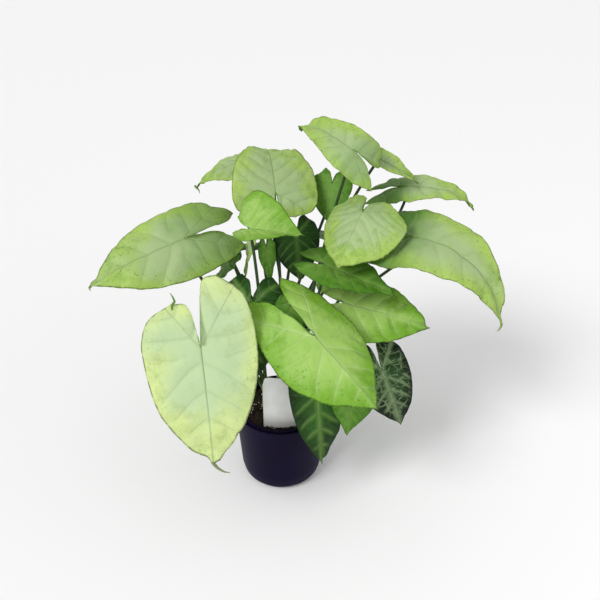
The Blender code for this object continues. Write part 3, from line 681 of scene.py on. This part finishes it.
def makeBlade(leaf):
    name = leaf["name"]
    edge = flatEdge(leaf)
    count = len(edge)
    around = np.linspace(0, 1, count)
    uneven = noiseAt(around, 0 * around, bladeSizes["edgeTurns"], leaf["at"][2])
    bays = noiseAt(around, 0 * around, bladeSizes["bayTurns"], leaf["at"][1])
    shift = bladeSizes["uneven"] * uneven + bladeSizes["bays"] * bays
    edge *= (1 + shift * np.sin(math.pi * around))[:, None]
    rings = bladeSizes["rings"]
    if sum(leaf["size"]) <= bladeSizes["fineFrom"]:
        rings //= 2
    t = np.linspace(0, 1, rings + 1)[1:, None]
    u = np.concatenate(([0.0], (t * edge[:, 0]).ravel()))
    v = np.concatenate(([0.0], (t * edge[:, 1]).ravel()))
    s = np.concatenate(([0.0], np.tile(np.linspace(0, 1, count), rings)))
    t = np.concatenate(([0.0], np.repeat(t, count)))
    wave = 0.001 * leaf["wave"] * t ** 2
    wave *= np.sin(bladeSizes["waveTurns"] * math.pi * s + leaf["at"][0])
    wave += bladeSizes["margin"] * t ** 5 * np.sin(bladeSizes["marginWaves"] * math.pi * s
                                                   + leaf["at"][1])
    share = min(1.0, sum(leaf["size"]) / bladeSizes["fullRelief"])
    sunk = (1 - ribDistance(leaf, u, v)) ** 2 * np.clip(t * 6, 0, 1)
    wave -= bladeSizes["pucker"] * share * sunk
    wave += bladeSizes["crumple"] * share * t * noiseAt(u, v, bladeSizes["crumpleScale"],
                                                        leaf["at"][1])
    top = bentPlaces(leaf, u, v, wave)
    faces = [(0, 1 + i, 2 + i) for i in range(count - 1)]
    for ring in range(1, rings):
        low, high = 1 + (ring - 1) * count, 1 + ring * count
        faces += [(low + i, high + i, high + i + 1, low + i + 1) for i in range(count - 1)]
    sheet = bpy.data.meshes.new("sheet")
    sheet.from_pydata(top.tolist(), [], faces)
    normals = np.empty(len(top) * 3)
    sheet.vertex_normals.foreach_get("vector", normals)
    bpy.data.meshes.remove(sheet)
    thick = bladeSizes["thick"] + (bladeSizes["rimThick"] - bladeSizes["thick"]) * t ** 3
    under = top - normals.reshape(-1, 3) * thick[:, None]
    shift = len(top)
    rim = ([0] + [1 + k * count for k in range(rings)]
           + [1 + (rings - 1) * count + i for i in range(1, count)]
           + [1 + k * count + count - 1 for k in range(rings - 2, -1, -1)])
    walls = [(a, b, b + shift, a + shift)[::-1] for a, b in zip(rim, rim[1:] + rim[:1])]
    faces += [tuple(i + shift for i in face[::-1]) for face in faces] + walls
    mesh = bpy.data.meshes.new(name)
    mesh.from_pydata(np.vstack((top, under)).tolist(), [], faces)
    mesh.shade_smooth()
    unit = 0.001 * (leaf["size"][0] + leaf["size"][2])
    flat = np.column_stack((u / unit, v / unit, np.full(shift, leaf["at"][0] * 0.37)))
    # the third build value is the amount of painted shade on the lobes
    build = np.tile((0.001 * leaf["size"][2] / unit, 0.001 * leaf["size"][1] / unit,
                     shadedLobes.get(name, 0.0)),
                    (2 * shift, 1))
    setAttribute(mesh, "flat", np.vstack((flat, flat)), "FLOAT_VECTOR")
    setAttribute(mesh, "build", build, "FLOAT_VECTOR")
    setAttribute(mesh, "rim", np.tile(t, 2))
    setAttribute(mesh, "under", np.repeat((0.0, 1.0), shift))
    return addPiece("leaf " + name, mesh, leafPaints[leaf["look"]], "leaf_" + leaf["look"],
                    "blade_" + name)


for leaf in leaves.values():
    makeBlade(leaf)
print("blades")


def tubeMesh(name, line, radii, sides):
    # rings kept from twisting by carrying one side direction along the line
    ahead = np.gradient(line, axis=0)
    ahead /= np.linalg.norm(ahead, axis=1)[:, None]
    side = np.cross(ahead[0], (0.0, 1.0, 0.3))
    rings = []
    for point, direction, radius in zip(line, ahead, radii):
        side = side - direction * side.dot(direction)
        side /= np.linalg.norm(side)
        other = np.cross(direction, side)
        for k in range(sides):
            a = 2 * math.pi * k / sides
            rings.append(point + radius * (side * math.cos(a) + other * math.sin(a)))
    count = len(line)
    faces = [(r * sides + k, r * sides + (k + 1) % sides, (r + 1) * sides + (k + 1) % sides,
              (r + 1) * sides + k) for r in range(count - 1) for k in range(sides)]
    faces += [tuple(range(sides))[::-1], tuple((count - 1) * sides + k for k in range(sides))]
    mesh = bpy.data.meshes.new(name)
    mesh.from_pydata([tuple(p) for p in rings], [], faces)
    setAttribute(mesh, "run", np.repeat(np.linspace(0, 1, count), sides))
    return mesh


# withered curls on a few blades: place as shares of length and half width, then offsets in mm
curlRows = {
    "front_left_tip": ("front_left", (0.985, 0.0), "palest", 0.0021,
                       ((-1, 0, 3), (0, 0, 0), (4, -1, -5), (10, -2, -9), (16, -2, -10))),
    "front_left_lobe": ("front_left", (-0.63, -0.40), "green", 0.0017,
                        ((0, -1, -3), (0, 0, 1), (3, 1, 5), (1, 2, 10), (-1, 3, 13))),
    "back_left_tip": ("back_left", (0.98, 0.0), "pale", 0.0016,
                      ((-1, 0, 1), (0, 0, -1), (3, 0, -4), (4, -1, -8))),
    "far_left_tip": ("far_left", (0.985, 0.0), "pale", 0.0014,
                     ((1, 0, 1), (-1, 0, -1), (0, -1, -4))),
    "far_right_tip": ("far_right", (0.985, 0.0), "pale", 0.0015,
                      ((0, 0, 2), (0, 0, -1), (-2, -1, -5), (-4, -1, -7))),
}


def makeCurl(name):
    leafName, share, look, radius, offsets = curlRows[name]
    leaf = leaves[leafName]
    length, width, lobe = (0.001 * n for n in leaf["size"])
    u = np.array([share[0] * (length if share[0] > 0 else lobe)])
    v = np.array([share[1] * width / 2])
    anchor = bentPlaces(leaf, u, v, np.zeros(1))[0]
    near = 0.001 * np.array(offsets, float)
    known = np.linspace(0, 1, len(near))
    fine = np.linspace(0, 1, 5 * len(near))
    line = anchor + np.column_stack([np.interp(fine, known, near[:, k]) for k in range(3)])
    line[1:-1] = (line[:-2] + line[1:-1] + line[2:]) / 3
    radii = radius * np.clip(1.15 - fine, 0.12, 0.8)
    mesh = tubeMesh(name, line, radii, 10)
    mesh.shade_smooth()
    setAttribute(mesh, "rim", np.full(len(mesh.vertices), 0.85))
    addPiece("curl " + name, mesh, leafPaints[look], "leaf_" + look)


for name in curlRows:
    makeCurl(name)
print("curls")


# shoots: a short stem wrapped in stalk bases, with a finer stalk to each leaf
stalkSizes = dict(points=44, sides=14, radius=0.0019, tipRadius=0.0015, sheath=0.0029,
                  sheathShare=0.16, knee=0.007, rise=0.42, ease=0.28, stem=0.0046, sink=0.012,
                  setIn=0.006)


def stalkLine(leaf):
    foot, height = shoots[leaf["shoot"]]
    base = np.array((foot[0], foot[1], soilTop + height - stalkSizes["setIn"]))
    above = bladeAxes(leaf)[2]
    end = 0.001 * np.array(leaf["at"]) - above * bladeSizes["thick"] * 0.5
    knee = end - above * stalkSizes["knee"]
    run = knee - base
    reach = np.linalg.norm(run)
    bow = 0.001 * np.array(leaf["bow"])
    into = above * 0.5 + run / reach * 0.5
    first = base + bow + (0.10 * run[0], 0.10 * run[1], stalkSizes["rise"] * reach)
    second = knee + bow - into / np.linalg.norm(into) * stalkSizes["ease"] * reach
    f = np.linspace(0, 1, stalkSizes["points"])[:, None]
    line = ((1 - f) ** 3 * base + 3 * f * (1 - f) ** 2 * first + 3 * f * f * (1 - f) * second
            + f ** 3 * knee)
    return np.vstack((line, (knee + end) / 2, end))


def makeShoot(name):
    foot, height = shoots[name]
    z = np.linspace(soilTop - stalkSizes["sink"], soilTop + height, 12)
    line = np.column_stack((np.full(12, foot[0]), np.full(12, foot[1]), z))
    radii = stalkSizes["stem"] * (1 - 0.35 * np.linspace(0, 1, 12) ** 4)
    stem = tubeMesh("stem", line, radii, 20)
    stem.attributes["run"].data.foreach_set("value", np.zeros(len(stem.vertices)))
    meshes = [stem]
    for leaf in leaves.values():
        if leaf["shoot"] == name:
            line = stalkLine(leaf)
            f = np.linspace(0, 1, len(line))
            radii = (stalkSizes["radius"] + (stalkSizes["tipRadius"] - stalkSizes["radius"]) * f
                     + (stalkSizes["sheath"] - stalkSizes["radius"])
                     * np.clip(1 - f / stalkSizes["sheathShare"], 0, 1))
            meshes.append(tubeMesh("stalk", line, radii, stalkSizes["sides"]))
    joined = bmesh.new()
    for mesh in meshes:
        joined.from_mesh(mesh)
        bpy.data.meshes.remove(mesh)
    mesh = bpy.data.meshes.new("shoot " + name)
    joined.to_mesh(mesh)
    joined.free()
    mesh.shade_smooth()
    addPiece("shoot " + name, mesh, finishes["stalk"], "stalk", "shoot_" + name)


for name in shoots:
    makeShoot(name)
print("shoots")


class Nodes:
    # a Geometry Nodes tree with named inputs, built up node by node
    def __init__(self, name, inputs):
        self.tree = bpy.data.node_groups.new(name, "GeometryNodeTree")
        face = self.tree.interface
        face.new_socket("Geometry", in_out="INPUT", socket_type="NodeSocketGeometry")
        self.ids = {}
        for key, value in inputs.items():
            kind = "NodeSocketInt" if isinstance(value, int) else "NodeSocketFloat"
            item = face.new_socket(key, in_out="INPUT", socket_type=kind)
            item.default_value = value
            self.ids[key] = item.identifier
        face.new_socket("Geometry", in_out="OUTPUT", socket_type="NodeSocketGeometry")
        self.given = self.tree.nodes.new("NodeGroupInput").outputs
        self.result = self.tree.nodes.new("NodeGroupOutput").inputs["Geometry"]

    def add(self, kind, settings=None, **inputs):
        # an input is given by its name, or by its number after an n where names repeat
        node = self.tree.nodes.new(kind)
        for key, value in (settings or {}).items():
            setattr(node, key, value)
        for key, value in inputs.items():
            numbered = key[0] == "n" and key[1:].isdigit()
            socket = node.inputs[int(key[1:]) if numbered else key.replace("_", " ")]
            if isinstance(value, bpy.types.NodeSocket):
                self.tree.links.new(value, socket)
            else:
                socket.default_value = value
        return node.outputs

    def run(self, name, mesh, shape, material):
        # realized, painted and turned into a plain mesh
        whole = self.add("GeometryNodeRealizeInstances", Geometry=shape)["Geometry"]
        painted = self.add("GeometryNodeSetMaterial", Geometry=whole, Material=material)
        self.tree.links.new(painted["Geometry"], self.result)
        holder = bpy.data.objects.new(name, mesh)
        bpy.context.scene.collection.objects.link(holder)
        holder.modifiers.new(name, "NODES").node_group = self.tree
        graph = bpy.context.evaluated_depsgraph_get()
        made = bpy.data.meshes.new_from_object(holder.evaluated_get(graph), depsgraph=graph)
        bpy.data.objects.remove(holder, do_unlink=True)
        return made


def cutDrains(pot):
    # rounded notches in the bottom corner
    p = potSizes
    shape = bmesh.new()
    for i in range(p["drains"]):
        made = bmesh.ops.create_cube(shape, size=1.0)["verts"]
        angle = 2 * math.pi * (i + 0.5) / p["drains"] + p["drainTurn"]
        for vert in made:
            x = vert.co.x * p["drainDepth"] + p["baseRadius"] - p["drainIn"]
            y, z = vert.co.y * p["drainWidth"], vert.co.z * 2 * p["drainHeight"]
            vert.co = (x * math.cos(angle) - y * math.sin(angle),
                       x * math.sin(angle) + y * math.cos(angle), z)
    bmesh.ops.bevel(shape, geom=shape.edges[:], offset=p["drainRound"], segments=2,
                    affect="EDGES")
    mesh = bpy.data.meshes.new("drains")
    shape.to_mesh(mesh)
    shape.free()
    cutter = bpy.data.objects.new("drains", mesh)
    bpy.context.scene.collection.objects.link(cutter)
    cutting = pot.modifiers.new("drains", "BOOLEAN")
    cutting.operation = "DIFFERENCE"
    cutting.object = cutter
    graph = bpy.context.evaluated_depsgraph_get()
    made = bpy.data.meshes.new_from_object(pot.evaluated_get(graph), depsgraph=graph)
    bpy.data.objects.remove(cutter, do_unlink=True)
    return made


def makePot():
    profile = potProfile()
    steps, count = potSizes["steps"], len(profile)
    angles = 2 * math.pi * np.arange(steps) / steps
    rings = [np.column_stack((r * np.cos(angles), r * np.sin(angles), np.full(steps, z)))
             for r, z in profile[1:-1]]
    places = np.vstack([[(0.0, 0.0, profile[0][1])], *rings, [(0.0, 0.0, profile[-1][1])]])
    faces = []
    for ring in range(count - 3):
        low, high = 1 + ring * steps, 1 + (ring + 1) * steps
        faces += [(low + k, low + (k + 1) % steps, high + (k + 1) % steps, high + k)
                  for k in range(steps)]
    last = 1 + (count - 3) * steps
    faces += [(0, 1 + (k + 1) % steps, 1 + k) for k in range(steps)]
    faces += [(last + steps, last + k, last + (k + 1) % steps) for k in range(steps)]
    mesh = bpy.data.meshes.new("pot")
    mesh.from_pydata(places.tolist(), [], faces)
    pot = bpy.data.objects.new("pot", mesh)
    bpy.context.scene.collection.objects.link(pot)
    made = cutDrains(pot)
    bpy.data.objects.remove(pot, do_unlink=True)
    made.shade_smooth()
    made.set_sharp_from_angle(angle=math.radians(potSizes["sharp"]))
    addPiece("plant pot", made, finishes["pot"], "pot_plastic", "pot")


makePot()
print("pot")


# soil: a rough top by rings, then perlite and bark crumbs scattered on it by Geometry Nodes
soilSizes = dict(rings=46, steps=150, rough=0.0012, roughScale=800.0, lumps=0.0016,
                 lumpScale=220.0, bottom=0.004, reach=0.0385,
                 perlite=70, perliteSize=0.0011, crumbs=420, crumbSize=0.0016)


def makeSoil():
    p, s = potSizes, soilSizes
    inner = p["topRadius"] - p["wall"] - p["grooveWidth"] - p["ringWidth"] - 0.0003
    steps = s["steps"]
    angles = 2 * math.pi * np.arange(steps) / steps
    places = [(0.0, 0.0, soilTop)]
    outer = [(inner - 0.001, soilTop - 0.002), (inner - 0.0015, soilTop - 0.008),
             (wallRadius(0.02) - 0.0055, 0.02), (0.030, s["bottom"])]
    radii = [((inner - 0.003) * k / s["rings"], soilTop) for k in range(1, s["rings"] + 1)]
    for r, z in radii + outer:
        x, y, level = r * np.cos(angles), r * np.sin(angles), np.full(steps, z)
        if z == soilTop:
            level += s["lumps"] * noiseAt(x, y, s["lumpScale"], 1)
            level += s["rough"] * noiseAt(x, y, s["roughScale"], 2)
        places += list(zip(x.tolist(), y.tolist(), level.tolist()))
    rings = len(radii) + len(outer)
    faces = [(0, 1 + k, 1 + (k + 1) % steps) for k in range(steps)]
    for ring in range(rings - 1):
        low, high = 1 + ring * steps, 1 + (ring + 1) * steps
        faces += [(low + k, high + k, high + (k + 1) % steps, low + (k + 1) % steps)
                  for k in range(steps)]
    last = 1 + (rings - 1) * steps
    faces.append(tuple(last + (steps - 1 - k) for k in range(steps)))
    mesh = bpy.data.meshes.new("soil")
    mesh.from_pydata(places, [], faces)
    mesh.shade_smooth()
    addPiece("potting soil", mesh, finishes["soil"], "potting_soil", "soil")


def scatter(name, count, size, seed, material, slot):
    # lumps of one small stone shape on a disc just inside the rim
    reach = soilSizes["reach"]
    tree = Nodes(name, {"Count": count, "Size": size, "Reach": reach})
    disc = tree.add("GeometryNodeMeshCircle", {"fill_type": "NGON"}, Vertices=40,
                    Radius=tree.given["Reach"])["Mesh"]
    lifted = tree.add("GeometryNodeTransform", Geometry=disc,
                      Translation=(0, 0, soilTop))["Geometry"]
    area = tree.add("ShaderNodeMath", {"operation": "DIVIDE"}, n0=tree.given["Count"],
                    n1=math.pi * reach ** 2)["Value"]
    points = tree.add("GeometryNodeDistributePointsOnFaces", Mesh=lifted, Density=area, Seed=seed)
    stone = tree.add("GeometryNodeMeshIcoSphere", Radius=tree.given["Size"],
                     Subdivisions=2)["Mesh"]
    turn = tree.add("FunctionNodeRandomValue", {"data_type": "FLOAT_VECTOR"}, Max=(6.3, 6.3, 6.3),
                    Seed=seed)
    grow = tree.add("FunctionNodeRandomValue", {"data_type": "FLOAT_VECTOR"}, Min=(0.45, 0.4, 0.3),
                    Max=(1.5, 1.1, 0.8), Seed=seed + 1)
    turned = tree.add("FunctionNodeEulerToRotation", Euler=turn[0])["Rotation"]
    placed = tree.add("GeometryNodeInstanceOnPoints", Points=points["Points"], Instance=stone,
                      Rotation=turned, Scale=grow[0])["Instances"]
    mesh = tree.run(name, bpy.data.meshes.new(name), placed, material)
    addPiece(name, mesh, material, slot)


makeSoil()
scatter("perlite grains", soilSizes["perlite"], soilSizes["perliteSize"], 5,
        finishes["perlite"], "potting_soil")
scatter("bark crumbs", soilSizes["crumbs"], soilSizes["crumbSize"], 11,
        finishes["soil"], "potting_soil")
print("soil")


# tag: a blank bowed strip with rounded shoulders
tagSizes = dict(width=0.039, thick=0.0008, centre=(0.001, -0.0325), top=0.160, bow=0.0030,
                foot=0.0568, shoulder=0.012, narrowing=0.14, columns=40, rows=70, corner=0.004,
                sharp=50)


def makeTag():
    p = tagSizes
    half = p["width"] / 2
    places = []
    for side in (-1, 1):
        for z in np.linspace(p["foot"], p["top"], p["rows"]):
            high = max(0.0, (z - p["top"] + p["shoulder"]) / p["shoulder"])
            reach = half * (1 - p["narrowing"] * high)
            over = max(0.0, z - p["top"] + p["corner"])
            reach -= p["corner"] - math.sqrt(max(0.0, p["corner"] ** 2 - over ** 2))
            for x in np.linspace(-reach, reach, p["columns"]):
                bow = -p["bow"] * (1 - (x / half) ** 2)
                y = p["centre"][1] + bow + side * p["thick"] / 2
                places.append((p["centre"][0] + x, y, z))
    rows, columns = p["rows"], p["columns"]
    shift = rows * columns
    corners = [r * columns + c for r in range(rows - 1) for c in range(columns - 1)]
    front = [(i, i + 1, i + columns + 1, i + columns) for i in corners]
    rim = (list(range(columns)) + [r * columns + columns - 1 for r in range(1, rows)]
           + [(rows - 1) * columns + c for c in range(columns - 2, -1, -1)]
           + [r * columns for r in range(rows - 2, 0, -1)])
    faces = front + [tuple(i + shift for i in f[::-1]) for f in front]
    faces += [(a, a + shift, b + shift, b) for a, b in zip(rim, rim[1:] + rim[:1])]
    mesh = bpy.data.meshes.new("tag")
    mesh.from_pydata(places, [], faces)
    mesh.shade_smooth()
    mesh.set_sharp_from_angle(angle=math.radians(p["sharp"]))
    addPiece("plant tag", mesh, finishes["tag"], "tag_plastic", "tag")


makeTag()
print("tag")
